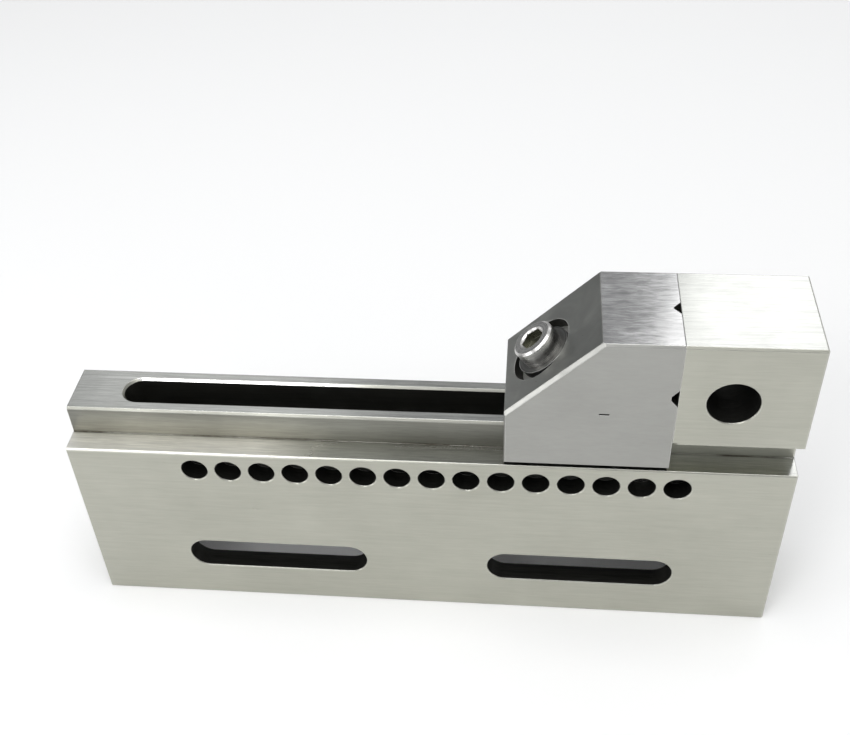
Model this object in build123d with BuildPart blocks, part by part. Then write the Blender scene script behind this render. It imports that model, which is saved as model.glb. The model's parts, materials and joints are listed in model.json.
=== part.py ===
"""Precision wire-erosion vise: a plate body with a guide rail and a solid fixed jaw,
and a sliding jaw that an inclined screw pulls down and forward. Millimetres, +Z up."""
from build123d import *
from math import acos, asin, atan2, cos, degrees, radians, sin, sqrt, tan
import os

# Body: plate, guide rail and fixed jaw, all one piece. Lengths along X run from the left end.
body_length = 167.6
body_width = 26.0
plate_height = 50.8
rail_width = 14.1
rail_height = 7.6
jaw_height = 28.6              # both jaws, above the rail
fixed_jaw_length = 28.4
fixed_jaw_lift = 0.8           # underside of the fixed jaw above the rail
relief_radius = 0.8            # grinding relief at the foot of the fixed jaw

# Slot in the rail, cavity under it, and the row of cross holes that notch its ceiling.
rail_slot_start = 12.1
rail_slot_width = 7.7
rail_slot_margin = 1.7         # from the slot's right end to the fixed jaw's face
cavity_start = 18.0
cavity_reach = 10.1            # from the last hole to the cavity's right end
cavity_corner = 4.0
side_wall = 5.0
hole_pitch = 8.0
hole_setback = 2.7             # last hole past the fixed jaw's face
hole_margin = 8.0              # least distance from the cavity's left end to a hole
hole_drop = 5.6                # below the top of the plate

# Mounting slots through the side walls, and the cross bore of the fixed jaw.
mount_slot_length = 44.8
mount_slot_width = 9.2
mount_slot_setback = 46.4      # from each end of the body to the slot's middle
mount_slot_height = 15.3
jaw_bore_radius = 5.6
jaw_bore_setback = 11.5        # from the fixed jaw's face
jaw_bore_rise = 13.4           # above the rail

# Sliding jaw.
sliding_jaw_length = 36.7
jaw_gap = 0.05                 # between the closed jaws
incline_height = 20.0          # rise, and run, of the 45 degree face at the back of the jaw
skirt_gap = 1.0                # from the skirts down to the ledge
way_clearance = 0.05
groove_depth = 1.5             # crossed grooves that hold round work
groove_floor = 0.4             # of the upright groove
level_groove_floor = 1.1
groove_angle = 100.0
groove_rise = 14.4             # above the rail
dash_length = 2.3
dash_height = 0.5
dash_depth = 0.15
dash_setback = 15.2            # from the gripping face
dash_rise = 9.2                # above the rail

# Pocket and ball seat in the 45 degree face.
pocket_radius = 8.2
pocket_depth = 2.8
pocket_place = 10.8            # up the face from its lower edge
seat_place = 11.5
seat_sphere = 9.0
seat_edge = 5.9                # radius of the ball seat at the pocket's floor
seat_clearance = 0.03
seat_web = 1.8                 # least wall between the ball seat and the bar's hole
screw_hole_clearance = 0.3
screw_hole_slack = 1.6         # both holes are drawn out, so that the screw can swing in its seat
bar_hole_slack = 4.0

# Clamp screw (low head, M6 x 12), its ball washer, and the bar and cross pin that it pulls.
screw_radius = 3.0
screw_length = 12.0
head_radius = 5.0
head_height = 4.2
head_chamfer = 0.5
socket_width = 5.0
socket_depth = 2.3
socket_lead = 0.4              # cone that leads a key into the socket
washer_radius = 6.5
washer_depth = 0.4             # top of the washer below the 45 degree face
washer_clearance = 0.2         # round the screw
bearing_gap = 0.02
boss_radius = 5.0
boss_clearance = 0.4           # to the jaw around and above it
boss_lift = 0.5                # above the rail when let down
shank_width = 7.0
shank_clearance = 0.4          # to each side of the rail's slot
eye_radius = 5.0
thread_depth = 6.2
thread_clearance = 0.05
pin_radius = 3.0
pin_fit = 0.02                 # in the eye
pin_clearance = 0.1            # in a notch
pin_end_gap = 0.2              # from each end to the cavity's wall
draw_travel = 2.0              # drawn up by this, the pin seats in its notch
ceiling_clearance = 0.3        # over the pin when it is let down

# Broken edges.
edge_chamfer = 0.3
jaw_chamfer = 0.5              # along the top of both jaws
rail_chamfer = 0.5
incline_chamfer = 0.75
hole_chamfer = 0.2

# Places worked out from the sizes.
left_end = -body_length / 2
right_end = body_length / 2
rail_top = plate_height + rail_height
jaw_top = rail_top + jaw_height
jaw_face = right_end - fixed_jaw_length
fixed_jaw_foot = rail_top + fixed_jaw_lift
rail_slot_left = left_end + rail_slot_start
rail_slot_right = jaw_face - rail_slot_margin
grip_face = jaw_face - jaw_gap
jaw_back = grip_face - sliding_jaw_length
skirt_foot = plate_height + skirt_gap
incline_foot = jaw_top - incline_height
incline_top = jaw_back + incline_height
cavity_left = left_end + cavity_start
cavity_width = body_width - 2 * side_wall
last_hole = jaw_face + hole_setback
cavity_right = last_hole + cavity_reach
hole_count = int((last_hole - cavity_left - hole_margin) / hole_pitch) + 1
hole_height = plate_height - hole_drop
hole_radius = pin_radius + pin_clearance
closed_hole = last_hole - hole_pitch

# The screw, washer, bar and pin share one axis. It passes through the middle of the ball seat
# and, with the jaws closed, through the last hole but one. The last is for a flatter screw.
pocket_x = jaw_back + pocket_place * sqrt(0.5)
pocket_z = incline_foot + pocket_place * sqrt(0.5)
seat_x = jaw_back + seat_place * sqrt(0.5)
seat_z = incline_foot + seat_place * sqrt(0.5)
seat_drop = sqrt(seat_sphere**2 - seat_edge**2)
pivot_height = seat_drop - pocket_depth
pivot_rise = pivot_height * sqrt(0.5)
pivot_x = seat_x - pivot_rise
pivot_z = seat_z + pivot_rise
axis_angle = atan2(pivot_z - hole_height, closed_hole - pivot_x)
pin_distance = sqrt((closed_hole - pivot_x) ** 2 + (pivot_z - hole_height) ** 2)

pocket_up = Vector(-sqrt(0.5), 0, sqrt(0.5))
axis_up = Vector(-cos(axis_angle), 0, sin(axis_angle))
swing_side = Vector(sin(axis_angle), 0, cos(axis_angle))
pivot = Vector(pivot_x, 0, pivot_z)
screw_axis = Axis(pivot, axis_up)

# Distances down the axis from the pivot, with the bar let down.
washer_top = pivot_height + washer_depth
washer_bore = screw_radius + washer_clearance
head_foot = washer_top - bearing_gap
bar_hole_top = seat_sphere + seat_clearance + seat_web
bar_top = bar_hole_top + boss_clearance + draw_travel
shank_top = (pivot_z - rail_top - boss_lift - boss_radius * cos(axis_angle)) / sin(axis_angle)
pin_rest = pin_distance + draw_travel
shank_thickness = rail_slot_width - 2 * shank_clearance
ceiling = pivot_z - pin_rest * sin(axis_angle) + pin_radius + ceiling_clearance


def down_axis(distance, side=0.0):
    """Plane square to the screw axis, below the pivot and shifted to the swing side."""
    origin = pivot - axis_up * distance + swing_side * side
    return Plane(origin=origin, x_dir=swing_side, z_dir=axis_up)


def along_axis(distance):
    """Upright plane through the screw axis, its origin below the pivot and its Y up the axis."""
    return Plane(origin=pivot - axis_up * distance, x_dir=swing_side, z_dir=swing_side.cross(axis_up))


def edges_along_x(part, height, offset):
    """Edges parallel to X at one height, on both sides at the given offset from the middle."""
    found = part.edges().filter_by(Axis.X)
    return found.filter_by(
        lambda edge: abs(edge.center().Z - height) < 0.01 and abs(abs(edge.center().Y) - offset) < 0.01
    )


with BuildPart() as vise_body:
    with BuildSketch(Plane.XY):
        Rectangle(body_length, body_width)
    extrude(amount=plate_height)
    with BuildSketch(Plane.XY.offset(plate_height)):
        Rectangle(body_length, rail_width)
    extrude(amount=rail_height)
    with BuildSketch(Plane.XY.offset(rail_top)):
        with Locations((jaw_face + fixed_jaw_length / 2, 0)):
            Rectangle(fixed_jaw_length, rail_width)
    extrude(amount=fixed_jaw_lift)
    with BuildSketch(Plane.XY.offset(fixed_jaw_foot)):
        with Locations((jaw_face + fixed_jaw_length / 2, 0)):
            Rectangle(fixed_jaw_length, body_width)
    extrude(amount=jaw_top - fixed_jaw_foot)

    chamfer(edges_along_x(vise_body.part, rail_top, rail_width / 2), rail_chamfer)
    chamfer(edges_along_x(vise_body.part, plate_height, body_width / 2), edge_chamfer)
    chamfer(edges_along_x(vise_body.part, 0, body_width / 2), edge_chamfer)
    chamfer(edges_along_x(vise_body.part, jaw_top, body_width / 2), jaw_chamfer)
    chamfer(edges_along_x(vise_body.part, fixed_jaw_foot, body_width / 2), edge_chamfer)
    chamfer(vise_body.edges().filter_by(Axis.Y).group_by(Axis.Z)[-1].sort_by(Axis.X)[-1], edge_chamfer)
    chamfer(vise_body.faces().sort_by(Axis.X)[-1].edges().filter_by(Axis.Z), edge_chamfer)

    # Slot down through the rail. Its right end slopes with the bar that hangs in it.
    with BuildSketch(Plane.XY.offset(rail_top)):
        with Locations(((rail_slot_left + rail_slot_right) / 2, 0)):
            SlotOverall(rail_slot_right - rail_slot_left, rail_slot_width)
    extrude(amount=ceiling - rail_top, mode=Mode.SUBTRACT)
    chamfer(
        vise_body.faces().filter_by(Axis.Z).filter_by(lambda face: abs(face.center().Z - rail_top) < 0.01)
        .edges().filter_by(lambda edge: abs(edge.center().Y) < rail_slot_width / 2 + 0.01
                           and edge.center().X < rail_slot_right + 0.01
                           and edge.center().X > left_end + 1),
        rail_chamfer,
    )
    with BuildSketch(Plane.XY.offset(rail_top - rail_chamfer)):
        with Locations((rail_slot_right - rail_slot_width, 0)):
            SlotOverall(2 * rail_slot_width, rail_slot_width)
    extrude(amount=(rail_top - rail_chamfer - ceiling) * sqrt(2), dir=(1, 0, -1), mode=Mode.SUBTRACT)

    # Cavity, open below, and the cross holes that leave half-round notches in its ceiling.
    with BuildSketch(Plane.XY):
        with Locations(((cavity_left + cavity_right) / 2, 0)):
            RectangleRounded(cavity_right - cavity_left, cavity_width, cavity_corner)
    extrude(amount=ceiling, mode=Mode.SUBTRACT)
    with BuildSketch(Plane.XZ):
        for number in range(hole_count):
            with Locations((last_hole - number * hole_pitch, hole_height)):
                Circle(hole_radius)
    extrude(amount=body_width, both=True, mode=Mode.SUBTRACT)

    # Mounting slots and the fixed jaw's bore.
    with BuildSketch(Plane.XZ):
        with Locations((0, mount_slot_height)):
            with GridLocations(body_length - 2 * mount_slot_setback, 1, 2, 1):
                SlotOverall(mount_slot_length, mount_slot_width)
        with Locations((jaw_face + jaw_bore_setback, rail_top + jaw_bore_rise)):
            Circle(jaw_bore_radius)
    extrude(amount=body_width, both=True, mode=Mode.SUBTRACT)
    side_faces = vise_body.faces().filter_by(Axis.Y).filter_by(
        lambda face: abs(abs(face.center().Y) - body_width / 2) < 0.01
    )
    rims = ShapeList(wire for face in side_faces for wire in face.inner_wires())
    chamfer(ShapeList(edge for rim in rims for edge in rim.edges()), hole_chamfer)

    with BuildSketch(Plane.XZ):
        with Locations((jaw_face + relief_radius / 2, fixed_jaw_foot)):
            Circle(relief_radius)
    extrude(amount=body_width, both=True, mode=Mode.SUBTRACT)

with BuildPart() as movable_jaw:
    with BuildSketch(Plane.XZ):
        with BuildLine():
            Polyline(
                (jaw_back, skirt_foot),
                (grip_face, skirt_foot),
                (grip_face, jaw_top),
                (incline_top, jaw_top),
                (jaw_back, incline_foot),
                close=True,
            )
        make_face()
    extrude(amount=body_width / 2, both=True)

    incline = movable_jaw.faces().filter_by(
        lambda face: abs(face.normal_at().X + sqrt(0.5)) < 0.01
    )
    incline_sides = incline.edges().filter_by(Axis(pivot, (1, 0, 1)))
    chamfer(incline_sides, incline_chamfer)
    chamfer(edges_along_x(movable_jaw.part, jaw_top, body_width / 2), jaw_chamfer)
    chamfer(edges_along_x(movable_jaw.part, skirt_foot, body_width / 2), edge_chamfer)
    back_face = movable_jaw.faces().sort_by(Axis.X)[0]
    chamfer(back_face.edges().filter_by(Axis.Z), edge_chamfer)

    # Channel that straddles the rail.
    with BuildSketch(Plane.YZ.offset(jaw_back)):
        with Locations((0, (skirt_foot + rail_top) / 2)):
            Rectangle(rail_width + 2 * way_clearance, rail_top - skirt_foot + 2 * way_clearance)
    extrude(amount=sliding_jaw_length, mode=Mode.SUBTRACT)

    # Crossed grooves in the gripping face.
    groove_mouth = groove_floor / 2 + groove_depth * tan(radians(groove_angle / 2))
    level_mouth = level_groove_floor / 2 + groove_depth * tan(radians(groove_angle / 2))
    with BuildSketch(Plane.XZ):
        with BuildLine():
            Polyline(
                (grip_face, rail_top + groove_rise + level_mouth),
                (grip_face - groove_depth, rail_top + groove_rise + level_groove_floor / 2),
                (grip_face - groove_depth, rail_top + groove_rise - level_groove_floor / 2),
                (grip_face, rail_top + groove_rise - level_mouth),
                close=True,
            )
        make_face()
    extrude(amount=body_width, both=True, mode=Mode.SUBTRACT)
    with BuildSketch(Plane.XY.offset(rail_top)):
        with BuildLine():
            Polyline(
                (grip_face, groove_mouth),
                (grip_face - groove_depth, groove_floor / 2),
                (grip_face - groove_depth, -groove_floor / 2),
                (grip_face, -groove_mouth),
                close=True,
            )
        make_face()
    extrude(amount=jaw_height, mode=Mode.SUBTRACT)

    # Pocket, ball seat, screw hole and the wider hole below it that takes the bar.
    with BuildSketch(Plane(origin=(pocket_x, 0, pocket_z), x_dir=(0, 1, 0), z_dir=pocket_up)):
        Circle(pocket_radius)
    extrude(amount=-pocket_depth, mode=Mode.SUBTRACT)
    with BuildSketch(Plane(origin=pivot, x_dir=(sqrt(0.5), 0, sqrt(0.5)), z_dir=(0, -1, 0))):
        with BuildLine():
            seat_radius = seat_sphere + seat_clearance
            arc = CenterArc((0, 0), seat_radius, -90, degrees(acos(seat_drop / seat_radius)))
            Polyline(arc @ 1, (0, 0), arc @ 0)
        make_face()
    revolve(axis=Axis(pivot, pocket_up), mode=Mode.SUBTRACT)
    with BuildSketch(down_axis(washer_top, screw_hole_slack / 2)):
        SlotCenterToCenter(screw_hole_slack, 2 * (screw_radius + screw_hole_clearance))
    extrude(amount=washer_top - bar_hole_top, mode=Mode.SUBTRACT)
    with BuildSketch(down_axis(bar_hole_top, bar_hole_slack / 2)):
        SlotCenterToCenter(bar_hole_slack, 2 * (boss_radius + boss_clearance))
    extrude(amount=-pin_distance, mode=Mode.SUBTRACT)

    # Short engraved dash on the front.
    with BuildSketch(Plane.XZ.offset(body_width / 2)):
        with Locations((grip_face - dash_setback, rail_top + dash_rise)):
            RectangleRounded(dash_length, dash_height, dash_height / 2 - 0.02)
    extrude(amount=-dash_depth, mode=Mode.SUBTRACT)

with BuildPart() as seat_washer:
    with BuildSketch(along_axis(0)):
        with BuildLine():
            arc = CenterArc((0, 0), seat_sphere, -90 + degrees(asin(washer_bore / seat_sphere)),
                            degrees(asin(washer_radius / seat_sphere) - asin(washer_bore / seat_sphere)))
            Polyline(arc @ 1, (washer_radius, -washer_top), (washer_bore, -washer_top), arc @ 0)
        make_face()
    revolve(axis=screw_axis)

with BuildPart() as clamp_screw:
    with BuildSketch(down_axis(head_foot)):
        Circle(head_radius)
    extrude(amount=head_height)
    chamfer(clamp_screw.edges().filter_by(GeomType.CIRCLE).sort_by(Axis.Z)[-1], head_chamfer)
    with BuildSketch(down_axis(head_foot - head_height)):
        RegularPolygon(socket_width / sqrt(3), 6)
    extrude(amount=-socket_depth, mode=Mode.SUBTRACT)
    with BuildSketch(down_axis(head_foot - head_height)):
        Circle(socket_width / sqrt(3) + socket_lead / 2)
    extrude(amount=-socket_lead, taper=45, mode=Mode.SUBTRACT)
    with BuildSketch(down_axis(head_foot)):
        Circle(screw_radius)
    extrude(amount=-screw_length)
    chamfer(clamp_screw.edges().filter_by(GeomType.CIRCLE).sort_by(Axis.Z)[0], edge_chamfer)

with BuildPart() as pull_bar:
    # Threaded boss inside the jaw, flat shank through the rail's slot, eye for the pin.
    with BuildSketch(down_axis(bar_top)):
        Circle(boss_radius)
    extrude(amount=bar_top - shank_top)
    chamfer(pull_bar.edges().filter_by(GeomType.CIRCLE).sort_by(Axis.Z)[-1], edge_chamfer)
    with BuildSketch(down_axis(shank_top)):
        Rectangle(shank_width, shank_thickness)
    extrude(amount=shank_top - pin_rest)
    with BuildSketch(along_axis(pin_rest)):
        Circle(eye_radius)
    extrude(amount=shank_thickness / 2, both=True)
    with BuildSketch(down_axis(bar_top)):
        Circle(screw_radius + thread_clearance)
    extrude(amount=-thread_depth, mode=Mode.SUBTRACT)
    with BuildSketch(along_axis(pin_rest)):
        Circle(pin_radius + pin_fit)
    extrude(amount=boss_radius, both=True, mode=Mode.SUBTRACT)

with BuildPart() as cross_pin:
    with BuildSketch(along_axis(pin_rest)):
        Circle(pin_radius)
    extrude(amount=cavity_width / 2 - pin_end_gap, both=True)
    chamfer(cross_pin.edges().filter_by(GeomType.CIRCLE), edge_chamfer)

os.makedirs("parts", exist_ok=True)
pieces = {
    "vise_body": vise_body,
    "movable_jaw": movable_jaw,
    "seat_washer": seat_washer,
    "clamp_screw": clamp_screw,
    "pull_bar": pull_bar,
    "cross_pin": cross_pin,
}
for name, piece in pieces.items():
    piece.part.label = name
    export_step(piece.part, f"parts/{name}.step")

print("pivot", round(pivot_x, 3), round(pivot_z, 3), "axis angle", round(degrees(axis_angle), 3))
print("pin at rest", tuple(round(value, 3) for value in down_axis(pin_rest).origin))
print("holes", hole_count, "ceiling", round(ceiling, 3), "boss", round(shank_top - bar_top, 3))
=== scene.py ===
import json
import math

import bpy
from mathutils import Matrix, Vector

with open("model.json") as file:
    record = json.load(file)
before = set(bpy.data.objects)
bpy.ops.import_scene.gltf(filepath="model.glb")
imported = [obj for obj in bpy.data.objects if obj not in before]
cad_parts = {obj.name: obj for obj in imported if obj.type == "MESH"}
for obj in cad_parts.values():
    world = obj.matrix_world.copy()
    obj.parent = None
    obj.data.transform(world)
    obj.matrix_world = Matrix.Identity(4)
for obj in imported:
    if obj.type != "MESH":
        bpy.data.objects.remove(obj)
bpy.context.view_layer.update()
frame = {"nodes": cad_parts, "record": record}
print("frame loaded:", ", ".join(sorted(frame["nodes"])))

millimetre = 0.001

cameraSetup = {
    "place": (23.76, -192.72, 235.21),      # millimetres, in the vise's own frame
    "right": (0.99532, 0.08951, -0.03632),
    "up": (-0.03104, 0.65246, 0.75719),
    "focalPixels": 1131.7,                  # for an image 850 wide and 735 high
    "imageWidth": 850,
    "sensor": 36.0,
    "clip": (0.01, 20.0),                   # metres
}


def makeCamera(setup):
    data = bpy.data.cameras.new("photoCamera")
    data.sensor_width = setup["sensor"]
    data.lens = setup["focalPixels"] / setup["imageWidth"] * setup["sensor"]
    data.clip_start, data.clip_end = setup["clip"]
    camera = bpy.data.objects.new("photoCamera", data)
    bpy.context.collection.objects.link(camera)
    right = Vector(setup["right"]).normalized()
    back = right.cross(Vector(setup["up"])).normalized()
    up = back.cross(right)
    turn = Matrix((right, up, back)).transposed().to_4x4()
    camera.matrix_world = Matrix.Translation(Vector(setup["place"]) * millimetre) @ turn
    bpy.context.scene.camera = camera


makeCamera(cameraSetup)
print("camera placed")


def addNode(tree, kind, x, y, **settings):
    node = tree.nodes.new(kind)
    node.location = (x, y)
    for name, value in settings.items():
        setattr(node, name, value)
    return node


def setInputs(node, values):
    for name, value in values.items():
        node.inputs[name].default_value = value


def addMath(tree, operation, x, y, first, second=None, clamp=False):
    node = addNode(tree, "ShaderNodeMath", x, y, operation=operation, use_clamp=clamp)
    for index, value in enumerate((first, second)):
        if value is None:
            continue
        if isinstance(value, (int, float)):
            node.inputs[index].default_value = value
        else:
            tree.links.new(value, node.inputs[index])
    return node.outputs[0]


def mapRange(tree, x, y, value, fromLow, fromHigh, toLow, toHigh, smooth=False):
    node = addNode(tree, "ShaderNodeMapRange", x, y)
    node.interpolation_type = "SMOOTHSTEP" if smooth else "LINEAR"
    tree.links.new(value, node.inputs["Value"])
    limits = {"From Min": fromLow, "From Max": fromHigh, "To Min": toLow, "To Max": toHigh}
    for name, given in limits.items():
        if isinstance(given, (int, float)):
            node.inputs[name].default_value = given
        else:
            tree.links.new(given, node.inputs[name])
    return node.outputs["Result"]


def newGroup(name, inputs, outputs):
    tree = bpy.data.node_groups.new(name, "ShaderNodeTree")
    for label, kind, value in inputs:
        socket = tree.interface.new_socket(label, in_out="INPUT", socket_type=kind)
        if value is not None:
            socket.default_value = value
    for label, kind in outputs:
        tree.interface.new_socket(label, in_out="OUTPUT", socket_type=kind)
    return tree, addNode(tree, "NodeGroupInput", -1000, 0), addNode(tree, "NodeGroupOutput", 900, 0)


def placeGroup(tree, group, x, y, values):
    node = addNode(tree, "ShaderNodeGroup", x, y, node_tree=group)
    setInputs(node, values)
    return node


def splitVector(tree, x, y, vector):
    parts = addNode(tree, "ShaderNodeSeparateXYZ", x, y)
    tree.links.new(vector, parts.inputs[0])
    return parts.outputs


def axisDistance(tree, x, y, parts):
    # how far a position, split into its parts, lies from the Z axis
    squareX = addMath(tree, "MULTIPLY", x, y + 60, parts["X"], parts["X"])
    squareY = addMath(tree, "MULTIPLY", x, y - 60, parts["Y"], parts["Y"])
    return addMath(tree, "SQRT", x + 300, y, addMath(tree, "ADD", x + 150, y, squareX, squareY))


def localPosition(tree, x, y, position, place):
    # the position as seen from a frame with its own centre and turn
    local = addNode(tree, "ShaderNodeMapping", x, y, vector_type="TEXTURE")
    setInputs(local, {"Location": place["centre"], "Rotation": place["turn"]})
    tree.links.new(position, local.inputs["Vector"])
    return local.outputs[0]


grindingValues = {
    "waverScale": 160.0, "waverDetail": 2.0,
    "coarseDetail": 3.0, "coarseRoughness": 0.62, "coarseBand": (0.32, 0.68), "coarseShare": 0.6,
    "fineDetail": 2.0, "fineRoughness": 0.5, "fineBand": (0.35, 0.65), "fineShare": 0.4,
    "cloudScale": 55.0, "cloudDetail": 3.0, "cloudRoughness": 0.55, "cloudBand": (0.3, 0.7),
}


def makeGrindingMarks(values):
    # long shallow lines along one direction, with a finer set between them
    tree, given, result = newGroup(
        "grindingMarks",
        (("Vector", "NodeSocketVector", None), ("Stretch", "NodeSocketVector", (60, 1400, 1400)),
         ("Fine", "NodeSocketFloat", 4.0), ("Waver", "NodeSocketFloat", 0.0004),
         ("Seed", "NodeSocketFloat", 0.0)),
        (("Lines", "NodeSocketFloat"), ("Cloud", "NodeSocketFloat")),
    )
    waver = addNode(tree, "ShaderNodeTexNoise", -820, -220, noise_dimensions="4D")
    setInputs(waver, {"Scale": values["waverScale"], "Detail": values["waverDetail"]})
    tree.links.new(given.outputs["Vector"], waver.inputs["Vector"])
    tree.links.new(given.outputs["Seed"], waver.inputs["W"])
    centred = addNode(tree, "ShaderNodeVectorMath", -640, -220, operation="SUBTRACT")
    centred.inputs[1].default_value = (0.5, 0.5, 0.5)
    tree.links.new(waver.outputs["Color"], centred.inputs[0])
    scaled = addNode(tree, "ShaderNodeVectorMath", -470, -220, operation="SCALE")
    tree.links.new(centred.outputs[0], scaled.inputs[0])
    tree.links.new(given.outputs["Waver"], scaled.inputs["Scale"])
    moved = addNode(tree, "ShaderNodeVectorMath", -300, -60, operation="ADD")
    tree.links.new(given.outputs["Vector"], moved.inputs[0])
    tree.links.new(scaled.outputs[0], moved.inputs[1])
    stretched = addNode(tree, "ShaderNodeVectorMath", -130, 60, operation="MULTIPLY")
    tree.links.new(moved.outputs[0], stretched.inputs[0])
    tree.links.new(given.outputs["Stretch"], stretched.inputs[1])
    coarse = addNode(tree, "ShaderNodeTexNoise", 60, 160, noise_dimensions="4D")
    setInputs(coarse, {"Scale": 1.0, "Detail": values["coarseDetail"],
                       "Roughness": values["coarseRoughness"]})
    tree.links.new(stretched.outputs[0], coarse.inputs["Vector"])
    tree.links.new(given.outputs["Seed"], coarse.inputs["W"])
    fine = addNode(tree, "ShaderNodeTexNoise", 60, -60, noise_dimensions="4D")
    setInputs(fine, {"Detail": values["fineDetail"], "Roughness": values["fineRoughness"]})
    tree.links.new(stretched.outputs[0], fine.inputs["Vector"])
    tree.links.new(given.outputs["Fine"], fine.inputs["Scale"])
    tree.links.new(given.outputs["Seed"], fine.inputs["W"])
    coarseLines = mapRange(tree, 260, 160, coarse.outputs["Fac"], *values["coarseBand"], 0.0, 1.0)
    fineLines = mapRange(tree, 260, -60, fine.outputs["Fac"], *values["fineBand"], 0.0, 1.0)
    coarsePart = addMath(tree, "MULTIPLY", 450, 200, coarseLines, values["coarseShare"])
    finePart = addMath(tree, "MULTIPLY", 450, -80, fineLines, values["fineShare"])
    tree.links.new(addMath(tree, "ADD", 450, 60, coarsePart, finePart), result.inputs["Lines"])
    cloud = addNode(tree, "ShaderNodeTexNoise", 60, -300, noise_dimensions="4D")
    setInputs(cloud, {"Scale": values["cloudScale"], "Detail": values["cloudDetail"],
                      "Roughness": values["cloudRoughness"]})
    tree.links.new(given.outputs["Vector"], cloud.inputs["Vector"])
    tree.links.new(given.outputs["Seed"], cloud.inputs["W"])
    clouds = mapRange(tree, 260, -300, cloud.outputs["Fac"], *values["cloudBand"], 0.0, 1.0)
    tree.links.new(clouds, result.inputs["Cloud"])
    return tree


turningValues = {"detail": 2.0, "roughness": 0.6, "band": (0.35, 0.65)}


def makeTurningMarks(values):
    # rings round a local Z axis, as a lathe leaves them
    tree, given, result = newGroup(
        "turningMarks",
        (("Vector", "NodeSocketVector", None), ("Rings", "NodeSocketFloat", 5200.0),
         ("Seed", "NodeSocketFloat", 0.0)),
        (("Lines", "NodeSocketFloat"),),
    )
    parts = splitVector(tree, -800, 0, given.outputs["Vector"])
    joined = addNode(tree, "ShaderNodeCombineXYZ", -120, 0)
    tree.links.new(axisDistance(tree, -600, 60, parts), joined.inputs["X"])
    tree.links.new(parts["Z"], joined.inputs["Y"])
    noise = addNode(tree, "ShaderNodeTexNoise", 80, 0, noise_dimensions="4D")
    setInputs(noise, {"Detail": values["detail"], "Roughness": values["roughness"]})
    tree.links.new(joined.outputs[0], noise.inputs["Vector"])
    tree.links.new(given.outputs["Rings"], noise.inputs["Scale"])
    tree.links.new(given.outputs["Seed"], noise.inputs["W"])
    lines = mapRange(tree, 300, 0, noise.outputs["Fac"], *values["band"], 0.0, 1.0)
    tree.links.new(lines, result.inputs["Lines"])
    return tree


brokenEdgeValues = {
    "bevelSamples": 6, "shelterSamples": 8, "clearBand": (0.82, 0.97), "cornerBand": (0.50, 0.92),
}


def makeBrokenEdges(values):
    # Edge is 0 on the faces and 1 on a sharp outer edge, Corner is 1 in an inner corner
    tree, given, result = newGroup(
        "brokenEdges",
        (("Radius", "NodeSocketFloat", 0.0003), ("Gain", "NodeSocketFloat", 5.0),
         ("Corner Size", "NodeSocketFloat", 0.0006)),
        (("Edge", "NodeSocketFloat"), ("Corner", "NodeSocketFloat"), ("Normal", "NodeSocketVector")),
    )
    bevel = addNode(tree, "ShaderNodeBevel", -600, 0, samples=values["bevelSamples"])
    tree.links.new(given.outputs["Radius"], bevel.inputs["Radius"])
    geometry = addNode(tree, "ShaderNodeNewGeometry", -600, -200)
    dot = addNode(tree, "ShaderNodeVectorMath", -400, 0, operation="DOT_PRODUCT")
    tree.links.new(bevel.outputs["Normal"], dot.inputs[0])
    tree.links.new(geometry.outputs["Normal"], dot.inputs[1])
    away = addMath(tree, "SUBTRACT", -200, 0, 1.0, dot.outputs["Value"])
    near = addMath(tree, "MULTIPLY", 0, 0, away, given.outputs["Gain"], clamp=True)
    shelter = addNode(tree, "ShaderNodeAmbientOcclusion", -600, -400, samples=values["shelterSamples"],
                      only_local=True)
    tree.links.new(given.outputs["Corner Size"], shelter.inputs["Distance"])
    clear = mapRange(tree, 0, -250, shelter.outputs["AO"], *values["clearBand"], 0.0, 1.0)
    tree.links.new(addMath(tree, "MULTIPLY", 250, 0, near, clear), result.inputs["Edge"])
    corner = mapRange(tree, 250, -250, shelter.outputs["AO"], *values["cornerBand"], 1.0, 0.0)
    tree.links.new(corner, result.inputs["Corner"])
    tree.links.new(bevel.outputs["Normal"], result.inputs["Normal"])
    return tree


handlingValues = {
    "smearDetail": 5.0, "smearRoughness": 0.62, "smearDistortion": 1.2, "smearBand": (0.42, 0.72),
    "nickScale": 420.0, "nickBand": (0.05, 0.11), "nickChoice": 0.8,
}


def makeHandling(values):
    # smears and tiny nicks
    tree, given, result = newGroup(
        "handling",
        (("Vector", "NodeSocketVector", None), ("Smear Size", "NodeSocketFloat", 90.0),
         ("Seed", "NodeSocketFloat", 0.0)),
        (("Smears", "NodeSocketFloat"), ("Nicks", "NodeSocketFloat")),
    )
    smear = addNode(tree, "ShaderNodeTexNoise", -500, 160, noise_dimensions="4D")
    setInputs(smear, {"Detail": values["smearDetail"], "Roughness": values["smearRoughness"],
                      "Distortion": values["smearDistortion"]})
    tree.links.new(given.outputs["Vector"], smear.inputs["Vector"])
    tree.links.new(given.outputs["Smear Size"], smear.inputs["Scale"])
    tree.links.new(given.outputs["Seed"], smear.inputs["W"])
    smears = mapRange(tree, -280, 160, smear.outputs["Fac"], *values["smearBand"], 0.0, 1.0, True)
    tree.links.new(smears, result.inputs["Smears"])
    nick = addNode(tree, "ShaderNodeTexVoronoi", -500, -160, voronoi_dimensions="4D", feature="F1")
    setInputs(nick, {"Scale": values["nickScale"], "Randomness": 1.0})
    tree.links.new(given.outputs["Vector"], nick.inputs["Vector"])
    tree.links.new(given.outputs["Seed"], nick.inputs["W"])
    near = mapRange(tree, -280, -100, nick.outputs["Distance"], *values["nickBand"], 1.0, 0.0, True)
    pick = splitVector(tree, -280, -300, nick.outputs["Color"])
    chosen = addMath(tree, "GREATER_THAN", -80, -300, pick["X"], values["nickChoice"])
    tree.links.new(addMath(tree, "MULTIPLY", 120, -160, near, chosen), result.inputs["Nicks"])
    return tree


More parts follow.
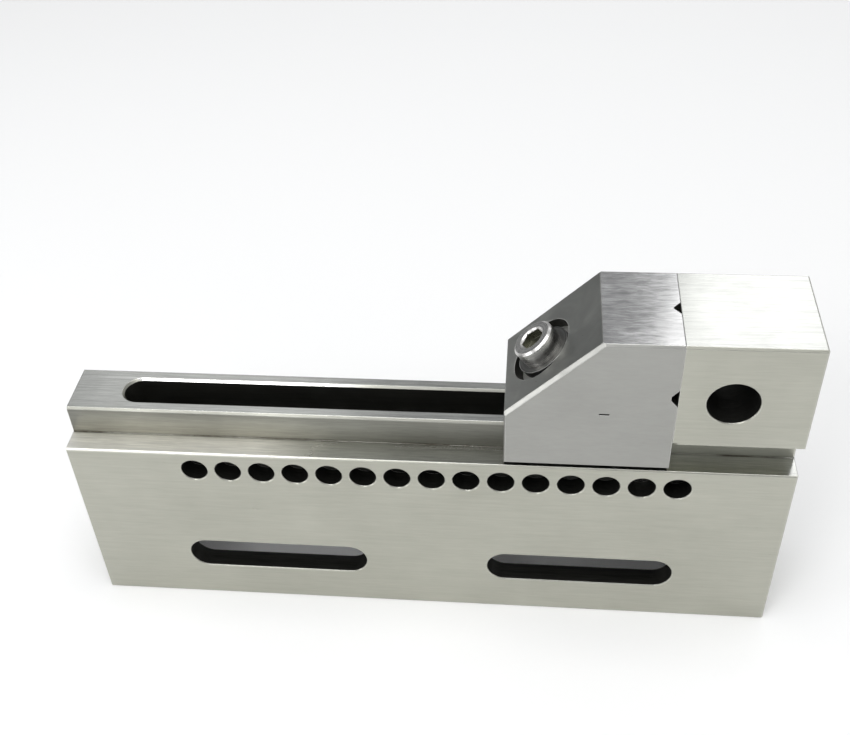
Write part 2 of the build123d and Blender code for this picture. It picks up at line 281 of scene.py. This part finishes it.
grindingMarks = makeGrindingMarks(grindingValues)
turningMarks = makeTurningMarks(turningValues)
brokenEdges = makeBrokenEdges(brokenEdgeValues)
handling = makeHandling(handlingValues)
print("shader groups built")


def mixColours(tree, x, y, factor, first, second):
    node = addNode(tree, "ShaderNodeMix", x, y, data_type="RGBA")
    for socket, value in ((node.inputs[0], factor), (node.inputs[6], first), (node.inputs[7], second)):
        if isinstance(value, bpy.types.NodeSocket):
            tree.links.new(value, socket)
        elif isinstance(value, tuple):
            socket.default_value = (*value, 1.0)
        else:
            socket.default_value = value
    return node.outputs[2]


def startMetal(name):
    material = bpy.data.materials.new(name)
    material.use_nodes = True
    tree = material.node_tree
    tree.nodes.clear()
    output = addNode(tree, "ShaderNodeOutputMaterial", 1500, 0)
    shader = addNode(tree, "ShaderNodeBsdfPrincipled", 1200, 0)
    setInputs(shader, {"Metallic": 1.0})
    tree.links.new(shader.outputs[0], output.inputs["Surface"])
    coordinate = addNode(tree, "ShaderNodeTexCoord", -1100, 0)
    return material, tree, shader, coordinate.outputs["Object"]


def insideBox(tree, x, y, position, patch):
    # 1 inside the box between a patch's two corners, 0 outside it; its softness is one amount or one per axis
    soft = patch["soft"] if isinstance(patch["soft"], tuple) else (patch["soft"],) * 3
    parts = splitVector(tree, x, y, position)
    mask = None
    for index, axis in enumerate("XYZ"):
        for bound, before, after in ((patch["low"][index], 0.0, 1.0), (patch["high"][index], 1.0, 0.0)):
            side = mapRange(tree, x + 200, y - 60 * index, parts[axis],
                            bound - soft[index], bound + soft[index], before, after)
            mask = side if mask is None else addMath(tree, "MULTIPLY", x + 400, y - 60 * index, mask, side)
    return mask


pocketBands = {                 # metres, from the pocket's radius, from its mouth and from its floor
    "rim": (0.0, 0.0001), "wall": (-0.00015, -0.00010), "mouth": (-0.0003, -0.00006),
    "aboveFloor": (0.00005, 0.00015), "belowFloor": (-0.00015, -0.00005),
}


def insidePocket(tree, x, y, position, pocket, bands):
    # two masks: anywhere in the round pocket or deeper, and on its floor alone
    parts = splitVector(tree, x + 180, y, localPosition(tree, x, y, position, pocket))
    radius = axisDistance(tree, x + 340, y, parts)
    rim, wall = ([pocket["radius"] + step for step in bands[name]] for name in ("rim", "wall"))
    above, under = ([-pocket["depth"] + step for step in bands[name]]
                    for name in ("aboveFloor", "belowFloor"))
    within = mapRange(tree, x + 800, y + 60, radius, *rim, 1.0, 0.0)
    below = mapRange(tree, x + 800, y - 120, parts["Z"], *bands["mouth"], 1.0, 0.0)
    inner = mapRange(tree, x + 800, y - 240, radius, *wall, 1.0, 0.0)
    deep = mapRange(tree, x + 800, y - 360, parts["Z"], *above, 1.0, 0.0)
    raised = mapRange(tree, x + 800, y - 480, parts["Z"], *under, 0.0, 1.0)
    sunk = addMath(tree, "MULTIPLY", x + 960, y, within, below)
    flat = addMath(tree, "MULTIPLY", x + 960, y - 240, inner, deep)
    return sunk, addMath(tree, "MULTIPLY", x + 1100, y - 240, flat, raised)


groundValues = {
    "touchSeedStep": 3,
    "upwardBand": (0.9, 0.98),              # of the normal's Z, from a side to a top
    "slantBand": (-0.00012, -0.00004),      # metres, from the slanted face
    "slantShares": (0.45, 0.55),            # of the grinding and of the smears
    "cornerShadeBand": (0.0, 0.7),                 # of the smears, which break up the painted shade in the inner corners
    "patch": {"soft": 0.00004, "grain": 0.35},
}


def makeGroundSteel(name, look, values):
    material, tree, shader, position = startMetal(name)
    marks = placeGroup(tree, grindingMarks, -800, 200, {
        "Stretch": look["stretch"], "Fine": look["fine"], "Waver": look["waver"], "Seed": look["seed"]})
    tree.links.new(position, marks.inputs["Vector"])
    touch = placeGroup(tree, handling, -800, -100, {
        "Smear Size": look["smearSize"], "Seed": look["seed"] + values["touchSeedStep"]})
    tree.links.new(position, touch.inputs["Vector"])
    edges = placeGroup(tree, brokenEdges, -800, -350, {
        "Radius": look["edgeRadius"], "Gain": look["edgeGain"]})
    face = addNode(tree, "ShaderNodeNewGeometry", -800, -520)
    faceParts = splitVector(tree, -620, -520, face.outputs["Normal"])
    upward = mapRange(tree, -440, -520, faceParts["Z"], *values["upwardBand"], 0.0, 1.0)

    contrast = mapRange(tree, -440, -700, upward, 0.0, 1.0, look["sideContrast"], look["topContrast"])
    centred = addMath(tree, "SUBTRACT", -500, 260, marks.outputs["Lines"], 0.5)
    lines = addMath(tree, "MULTIPLY", -300, 260, centred, contrast)
    centredCloud = addMath(tree, "SUBTRACT", -500, 120, marks.outputs["Cloud"], 0.5)
    cloud = addMath(tree, "MULTIPLY", -300, 120, centredCloud, look["cloudContrast"])
    shade = addMath(tree, "ADD", -120, 200, addMath(tree, "ADD", -200, 320, lines, cloud), 0.5, clamp=True)
    # the tops get lighter colours than the sides: painted light from above
    sides = mixColours(tree, 80, 220, shade, look["darkColour"], look["lightColour"])
    tops = mixColours(tree, 80, 420, shade, look["topDark"], look["topLight"])
    base = mixColours(tree, 240, 300, upward, sides, tops)
    rough = mapRange(tree, 200, -200, marks.outputs["Lines"], 0.0, 1.0, *look["roughness"])
    topRough = mapRange(tree, 200, -60, marks.outputs["Lines"], 0.0, 1.0, *look["topRoughness"])
    finish = mapRange(tree, 400, -120, upward, 0.0, 1.0, rough, topRough)
    edge = edges.outputs["Edge"]
    for index, given in enumerate(look["patches"]):
        patch = {**values["patch"], **given}
        column = 400 + 60 * index
        inside = insideBox(tree, -1900, 700 + 400 * index, position, patch)
        darker, lighter = (tuple(part * share for part in patch["colour"])
                           for share in (1 - patch["grain"], 1 + patch["grain"]))
        patched = mixColours(tree, column - 60, 860, shade, darker, lighter)
        base = mixColours(tree, column, 700, inside, base, patched)
        finish = mapRange(tree, column, -300, inside, 0.0, 1.0, finish, patch["roughness"])
        if "edge" in patch:
            kept = mapRange(tree, column - 60, -420, inside, 0.0, 1.0, 1.0, patch["edge"])
            edge = addMath(tree, "MULTIPLY", column, -420, edge, kept)
    if "slant" in look:
        slant = look["slant"]
        along = addNode(tree, "ShaderNodeVectorMath", -900, 900, operation="DOT_PRODUCT")
        tree.links.new(position, along.inputs[0])
        along.inputs[1].default_value = slant["direction"]
        band = [slant["reach"] + step for step in values["slantBand"]]
        onFace = mapRange(tree, -700, 900, along.outputs["Value"], *band, 0.0, 1.0)
        ground = addMath(tree, "MULTIPLY", -60, 960, shade, values["slantShares"][0])
        smeared = addMath(tree, "MULTIPLY", -60, 840, touch.outputs["Smears"], values["slantShares"][1])
        mottle = addMath(tree, "ADD", 120, 900, ground, smeared)
        slantColour = mixColours(tree, 300, 900, mottle, slant["dark"], slant["light"])
        base = mixColours(tree, 640, 300, onFace, base, slantColour)
    # painted shade in the inner corners, where ambient occlusion finds them, broken up by the smears
    cornerShadeAmount = mapRange(tree, 300, -60, touch.outputs["Smears"], *values["cornerShadeBand"], *look["cornerShade"])
    cornerShadeMask = addMath(tree, "MULTIPLY", 420, -60, edges.outputs["Corner"], cornerShadeAmount)
    base = mixColours(tree, 660, 60, cornerShadeMask, base, look["cornerShadeColour"])
    # a painted highlight along the sharp outer edges
    shine = addMath(tree, "MULTIPLY", 420, 60, edge, look["edgeShine"])
    edgeHighlighted = mixColours(tree, 700, 200, shine, base, look["edgeHighlightColour"])
    nicked = addMath(tree, "MULTIPLY", 600, 0, touch.outputs["Nicks"], look["nicks"])
    marked = mixColours(tree, 780, 200, nicked, edgeHighlighted, look["nickColour"])
    if "pocket" in look:
        pocket = look["pocket"]
        sunk, bottom = insidePocket(tree, -1900, -900, position, pocket, pocketBands)
        # painted shade on the pocket's wall and painted light on its floor
        pocketShadeAndLight = mixColours(tree, 820, 420, bottom, pocket["colour"], pocket["floorColour"])
        marked = mixColours(tree, 860, 300, sunk, marked, pocketShadeAndLight)
        finish = mapRange(tree, 860, -300, sunk, 0.0, 1.0, finish, pocket["roughness"])
    tree.links.new(marked, shader.inputs["Base Color"])
    smeared = addMath(tree, "MULTIPLY", 200, -380, touch.outputs["Smears"], look["smearRoughness"])
    tree.links.new(addMath(tree, "ADD", 960, -240, finish, smeared, clamp=True), shader.inputs["Roughness"])

    bump = addNode(tree, "ShaderNodeBump", 900, -500)
    setInputs(bump, {"Strength": look["bump"], "Distance": look["bumpDepth"]})
    tree.links.new(marks.outputs["Lines"], bump.inputs["Height"])
    tree.links.new(edges.outputs["Normal"], bump.inputs["Normal"])
    tree.links.new(bump.outputs["Normal"], shader.inputs["Normal"])
    return material


plateSteel = {
    "stretch": (55, 1300, 1300), "fine": 3.6, "waver": 0.0005, "seed": 1.0, "smearSize": 60.0,
    "edgeRadius": 0.00022, "edgeGain": 6.0, "edgeShine": 0.7, "edgeHighlightColour": (0.90, 0.90, 0.87),
    "sideContrast": 0.45, "topContrast": 1.1, "cloudContrast": 0.30,
    "darkColour": (0.365, 0.365, 0.316), "lightColour": (0.505, 0.505, 0.443),
    # the tops' colours are lighter than the sides': painted light from above
    "topDark": (0.42, 0.425, 0.41), "topLight": (0.64, 0.65, 0.62),
    "cornerShade": (0.25, 1.0), "cornerShadeColour": (0.085, 0.075, 0.055),
    "nicks": 0.25, "nickColour": (0.33, 0.33, 0.31),
    "roughness": (0.27, 0.36), "topRoughness": (0.15, 0.24), "smearRoughness": 0.05,
    "bump": 0.14, "bumpDepth": 0.00002,
    # in this order: painted shade on the rail's two sides, painted shade darker towards its foot, painted
    # shade on its two broken top edges in place of their highlight, painted light on the front ledge, the
    # slot's back rim (a painted highlight at the left, painted shade at the right), and painted shade inside
    # the cavity and the holes, the rail's slot, and the fixed jaw's bore
    "patches": [
        {"low": (-0.0837, -0.00715, 0.0509), "high": (0.0554, -0.00690, 0.05785),
         "colour": (0.212, 0.212, 0.188), "roughness": 0.34},
        {"low": (-0.0837, 0.00690, 0.0509), "high": (0.0554, 0.00715, 0.05785),
         "colour": (0.212, 0.212, 0.188), "roughness": 0.34},
        {"low": (-0.0900, -0.00715, 0.0500), "high": (0.0554, 0.00715, 0.0534),
         "colour": (0.155, 0.148, 0.122), "roughness": 0.38, "soft": 0.0024},
        {"low": (-0.0837, -0.00712, 0.05788), "high": (0.0554, -0.00660, 0.0584),
         "colour": (0.30, 0.30, 0.268), "roughness": 0.38, "edge": 0.1},
        {"low": (-0.0837, 0.00660, 0.05788), "high": (0.0554, 0.00712, 0.0584),
         "colour": (0.30, 0.30, 0.268), "roughness": 0.38, "edge": 0.1},
        {"low": (-0.1000, -0.01320, 0.0503), "high": (-0.0300, -0.00735, 0.0511),
         "colour": (0.90, 0.885, 0.82), "roughness": 0.44, "soft": (0.0090, 0.0003, 0.0003), "grain": 0.16},
        {"low": (-0.0800, 0.00380, 0.05788), "high": (-0.0200, 0.00450, 0.0584),
         "colour": (0.80, 0.80, 0.78), "roughness": 0.20, "soft": (0.0080, 0.00004, 0.00004), "grain": 0.15},
        {"low": (-0.0120, 0.00370, 0.05770), "high": (0.0580, 0.00450, 0.0584),
         "colour": (0.30, 0.30, 0.27), "roughness": 0.38, "soft": (0.0100, 0.00004, 0.00004), "edge": 0.15},
        {"low": (-0.0836, -0.01280, 0.0001), "high": (0.0836, 0.01280, 0.0506),
         "colour": (0.055, 0.055, 0.05), "roughness": 0.5},
        {"low": (-0.0725, -0.0039, 0.0450), "high": (0.0700, 0.0039, 0.05785),
         "colour": (0.08, 0.08, 0.07), "roughness": 0.5},
        {"low": (0.0605, -0.01275, 0.0655), "high": (0.0740, 0.01275, 0.0780),
         "colour": (0.06, 0.06, 0.055), "roughness": 0.5},
    ],
}
halfRoot = math.sqrt(0.5)
jawSlope = {"footX": 0.01865, "footZ": 0.0670, "pocketUp": 0.0108}      # metres, at 45 degrees
jawSteel = {
    "stretch": (170, 900, 900), "fine": 2.6, "waver": 0.0014, "seed": 7.0, "smearSize": 75.0,
    "edgeRadius": 0.00022, "edgeGain": 6.0, "edgeShine": 0.7, "edgeHighlightColour": (0.92, 0.92, 0.90),
    "sideContrast": 0.30, "topContrast": 1.0, "cloudContrast": 0.22,
    "darkColour": (0.30, 0.30, 0.284), "lightColour": (0.41, 0.41, 0.389),
    # the tops' colours are lighter than the sides': painted light from above
    "topDark": (0.40, 0.40, 0.40), "topLight": (0.66, 0.66, 0.66),
    "cornerShade": (0.1, 0.5), "cornerShadeColour": (0.10, 0.09, 0.07),
    "nicks": 0.2, "nickColour": (0.30, 0.30, 0.29), "roughness": (0.27, 0.38), "topRoughness": (0.10, 0.18),
    "smearRoughness": 0.05, "bump": 0.16, "bumpDepth": 0.00002,
    "slant": {"direction": (-halfRoot, 0, halfRoot),
              "reach": (jawSlope["footZ"] - jawSlope["footX"]) * halfRoot,
              "dark": (0.26, 0.265, 0.25), "light": (0.42, 0.425, 0.40)},
    # the pocket's wall gets painted shade and its floor painted light
    "pocket": {"centre": (jawSlope["footX"] + jawSlope["pocketUp"] * halfRoot, 0.0,
                          jawSlope["footZ"] + jawSlope["pocketUp"] * halfRoot),
               "turn": (0.0, -math.pi / 4, 0.0), "radius": 0.00825, "depth": 0.0028,
               "colour": (0.045, 0.045, 0.04), "floorColour": (0.88, 0.88, 0.84), "roughness": 0.5},
    # in this order: painted shade inside the channel over the rail, and painted shade in the dash on the
    # front
    "patches": [
        {"low": (0.0188, -0.01280, 0.0517), "high": (0.05535, 0.01280, 0.0583),
         "colour": (0.16, 0.16, 0.15), "roughness": 0.5},
        {"low": (0.0387, -0.01292, 0.0670), "high": (0.0416, -0.01270, 0.0682),
         "colour": (0.02, 0.02, 0.02), "roughness": 0.6},
    ],
}


turnedValues = {
    "smearRoughness": 0.08, "bumpDepth": 0.00002,
    "hollowSide": (-0.00005, 0.0), "hollowTop": (-0.00008, -0.00002),       # metres
}


def makeTurnedSteel(name, look, values):
    material, tree, shader, position = startMetal(name)
    local = localPosition(tree, -900, 0, position, look)
    marks = placeGroup(tree, turningMarks, -650, 100, {"Rings": look["rings"], "Seed": look["seed"]})
    tree.links.new(local, marks.inputs["Vector"])
    touch = placeGroup(tree, handling, -650, -100, {"Smear Size": look["smearSize"], "Seed": look["seed"]})
    tree.links.new(position, touch.inputs["Vector"])
    edges = placeGroup(tree, brokenEdges, -650, -300, {
        "Radius": look["edgeRadius"], "Gain": look["edgeGain"]})
    base = mixColours(tree, -350, 200, marks.outputs["Lines"], look["darkColour"], look["lightColour"])
    # a painted highlight along the sharp outer edges
    shine = addMath(tree, "MULTIPLY", -200, 0, edges.outputs["Edge"], look["edgeShine"])
    edgeHighlighted = mixColours(tree, 0, 200, shine, base, look["edgeHighlightColour"])
    # painted shade inside the hex socket
    if "hollow" in look:
        hollow = look["hollow"]
        parts = splitVector(tree, -650, 500, local)
        side = [hollow["radius"] + step for step in values["hollowSide"]]
        top = [hollow["height"] + step for step in values["hollowTop"]]
        within = mapRange(tree, 0, 500, axisDistance(tree, -460, 500, parts), *side, 1.0, 0.0)
        below = mapRange(tree, 0, 360, parts["Z"], *top, 1.0, 0.0)
        sunk = addMath(tree, "MULTIPLY", 160, 440, within, below)
        edgeHighlighted = mixColours(tree, 300, 300, sunk, edgeHighlighted, hollow["colour"])
    tree.links.new(edgeHighlighted, shader.inputs["Base Color"])
    rough = mapRange(tree, 0, -200, marks.outputs["Lines"], 0.0, 1.0, *look["roughness"])
    smeared = addMath(tree, "MULTIPLY", 0, -400, touch.outputs["Smears"], values["smearRoughness"])
    tree.links.new(addMath(tree, "ADD", 200, -250, rough, smeared, clamp=True), shader.inputs["Roughness"])
    bump = addNode(tree, "ShaderNodeBump", 700, -300)
    setInputs(bump, {"Strength": look["bump"], "Distance": values["bumpDepth"]})
    tree.links.new(marks.outputs["Lines"], bump.inputs["Height"])
    tree.links.new(edges.outputs["Normal"], bump.inputs["Normal"])
    tree.links.new(bump.outputs["Normal"], shader.inputs["Normal"])
    return material


joints = frame["record"]["behaviour"]["joints"]
screwJoint = next(joint for joint in joints if joint["name"] == "screw_turn")
screwAxis = -Vector(screwJoint["axis"])
screwPivot = Vector(screwJoint["pos_m"])
axisTurn = screwAxis.to_track_quat("Z", "Y").to_euler()
washerSteel = {
    "centre": tuple(screwPivot), "turn": tuple(axisTurn), "rings": 4200.0, "seed": 11.0, "smearSize": 300.0,
    "edgeRadius": 0.0002, "edgeGain": 6.0, "edgeShine": 0.8, "edgeHighlightColour": (0.80, 0.80, 0.78),
    # the washer's dark colours are painted shade from the screw head
    "darkColour": (0.12, 0.12, 0.115), "lightColour": (0.19, 0.19, 0.18),
    "roughness": (0.30, 0.42), "bump": 0.15,
}
screwSteel = {
    "centre": tuple(screwPivot), "turn": tuple(axisTurn), "rings": 5200.0, "seed": 17.0, "smearSize": 350.0,
    "edgeRadius": 0.0002, "edgeGain": 6.0, "edgeShine": 0.6, "edgeHighlightColour": (0.90, 0.89, 0.87),
    "darkColour": (0.52, 0.515, 0.50), "lightColour": (0.72, 0.71, 0.69),
    "roughness": (0.22, 0.34), "bump": 0.15,
    # the hex socket's colour is painted shade
    "hollow": {"radius": 0.0032, "height": -0.00070, "colour": (0.20, 0.20, 0.165)},
}
pinSteel = {
    "centre": (0.05135, 0.0, 0.04364), "turn": (math.pi / 2, 0.0, 0.0), "rings": 5600.0, "seed": 23.0,
    "smearSize": 300.0,
    "edgeRadius": 0.0002, "edgeGain": 6.0, "edgeShine": 0.5, "edgeHighlightColour": (0.85, 0.85, 0.84),
    "darkColour": (0.50, 0.50, 0.50), "lightColour": (0.66, 0.66, 0.65),
    "roughness": (0.20, 0.30), "bump": 0.1,
}
barSteel = {
    "stretch": (900, 900, 900), "fine": 4.0, "waver": 0.0003, "seed": 31.0, "smearSize": 150.0,
    "edgeRadius": 0.0002, "edgeGain": 6.0, "edgeShine": 0.5, "edgeHighlightColour": (0.80, 0.80, 0.79),
    "sideContrast": 0.4, "topContrast": 0.4, "cloudContrast": 0.3,
    "darkColour": (0.32, 0.32, 0.31), "lightColour": (0.48, 0.48, 0.47),
    "topDark": (0.32, 0.32, 0.31), "topLight": (0.48, 0.48, 0.47),
    "cornerShade": (0.2, 0.8), "cornerShadeColour": (0.09, 0.08, 0.06),
    "nicks": 0.3, "nickColour": (0.22, 0.22, 0.22), "roughness": (0.34, 0.46), "topRoughness": (0.34, 0.46),
    "smearRoughness": 0.08, "bump": 0.15, "bumpDepth": 0.00002, "patches": [],
}


def dressNode(node, material):
    piece = frame["nodes"][node]
    for slot in piece.material_slots:
        slot.material = material
    if not piece.material_slots:
        piece.data.materials.append(material)


dressNode("vise_body", makeGroundSteel("groundPlate", plateSteel, groundValues))
dressNode("movable_jaw", makeGroundSteel("groundJaw", jawSteel, groundValues))
dressNode("pull_bar", makeGroundSteel("milledBar", barSteel, groundValues))
dressNode("seat_washer", makeTurnedSteel("turnedWasher", washerSteel, turnedValues))
dressNode("clamp_screw", makeTurnedSteel("turnedScrew", screwSteel, turnedValues))
dressNode("cross_pin", makeTurnedSteel("groundPin", pinSteel, turnedValues))
print("vise dressed")

floorSetup = {"radius": 1.1, "steps": 96, "colour": (0.97, 0.97, 0.97), "shade": 0.985, "grainScale": 900.0,
              "grainDetail": 3.0, "roughness": 0.9, "shine": 0.1}


def makeFloor(setup):
    mesh = bpy.data.meshes.new("studioFloor")
    ring = [(setup["radius"] * math.cos(turn), setup["radius"] * math.sin(turn), 0.0)
            for turn in (2 * math.pi * step / setup["steps"] for step in range(setup["steps"]))]
    mesh.from_pydata(ring, [], [list(range(setup["steps"]))])
    floor = bpy.data.objects.new("studioFloor", mesh)
    bpy.context.collection.objects.link(floor)
    material = bpy.data.materials.new("palePaper")
    material.use_nodes = True
    tree = material.node_tree
    shader = tree.nodes["Principled BSDF"]
    setInputs(shader, {"Roughness": setup["roughness"], "Specular IOR Level": setup["shine"]})
    grain = addNode(tree, "ShaderNodeTexNoise", -500, 0)
    setInputs(grain, {"Scale": setup["grainScale"], "Detail": setup["grainDetail"]})
    coordinate = addNode(tree, "ShaderNodeTexCoord", -700, 0)
    tree.links.new(coordinate.outputs["Object"], grain.inputs["Vector"])
    shaded = tuple(value * setup["shade"] for value in setup["colour"])
    paper = mixColours(tree, -250, 0, grain.outputs["Fac"], shaded, setup["colour"])
    tree.links.new(paper, shader.inputs["Base Color"])
    mesh.materials.append(material)


lampTarget = (0.02, 0.0, 0.05)              # metres
lampSetup = {                               # azimuth and height in degrees, from the target
    "rightBack": {"azimuth": 19.4, "height": 40, "distance": 0.8, "size": (0.17, 0.30), "radiance": 1.8},
    "leftBack": {"azimuth": -28, "height": 41, "distance": 0.8, "size": (0.26, 0.30), "radiance": 0.52},
    "overhead": {"azimuth": 180, "height": 80, "distance": 1.1, "size": (0.9, 0.9), "radiance": 2.85},
    "leftFront": {"azimuth": -114, "height": 12, "distance": 0.7, "size": (0.30, 0.25), "radiance": 3.4},
    "rightFront": {"azimuth": 122, "height": 13, "distance": 0.6, "size": (0.20, 0.20), "radiance": 2.0},
    "highFront": {"azimuth": -148.5, "height": 43, "distance": 0.8, "size": (0.285, 0.20), "radiance": 6.4},
}


def makeLamp(name, setup, target):
    data = bpy.data.lights.new(name, "AREA")
    data.shape = "RECTANGLE"
    data.size, data.size_y = setup["size"]
    data.energy = setup["radiance"] * math.pi * setup["size"][0] * setup["size"][1]
    lamp = bpy.data.objects.new(name, data)
    bpy.context.collection.objects.link(lamp)
    azimuth = math.radians(setup["azimuth"])
    height = math.radians(setup["height"])
    level = math.cos(height)
    away = Vector((math.sin(azimuth) * level, math.cos(azimuth) * level, math.sin(height)))
    lamp.location = Vector(target) + away * setup["distance"]
    lamp.rotation_euler = away.to_track_quat("Z", "Y").to_euler()


worldSetup = {
    "horizon": (0.42, 0.425, 0.43), "zenith": (0.44, 0.445, 0.45), "zenithBand": (0.0, 0.8),
    "shadedSide": (0.24, 0.245, 0.25), "shadedAzimuth": -41.0, "shadedSpread": (0.55, 0.92),
}


def makeWorld(setup):
    world = bpy.data.worlds.new("studioWorld")
    bpy.context.scene.world = world
    world.use_nodes = True
    tree = world.node_tree
    background = tree.nodes["Background"]
    coordinate = addNode(tree, "ShaderNodeTexCoord", -1000, 0)
    parts = splitVector(tree, -800, 0, coordinate.outputs["Generated"])
    upward = mapRange(tree, -600, 100, parts["Z"], *setup["zenithBand"], 0.0, 1.0, True)
    sky = mixColours(tree, -400, 100, upward, setup["horizon"], setup["zenith"])
    towards = addNode(tree, "ShaderNodeVectorMath", -800, -200, operation="DOT_PRODUCT")
    tree.links.new(coordinate.outputs["Generated"], towards.inputs[0])
    azimuth = math.radians(setup["shadedAzimuth"])
    towards.inputs[1].default_value = (math.sin(azimuth), math.cos(azimuth), 0.0)
    shaded = mapRange(tree, -600, -200, towards.outputs["Value"], *setup["shadedSpread"], 0.0, 1.0, True)
    tree.links.new(mixColours(tree, -200, 0, shaded, sky, setup["shadedSide"]), background.inputs["Color"])


makeFloor(floorSetup)
for lampName, lampValues in lampSetup.items():
    makeLamp(lampName, lampValues, lampTarget)
makeWorld(worldSetup)
bpy.context.scene.view_settings.view_transform = "Standard"
print("floor and lamps placed")
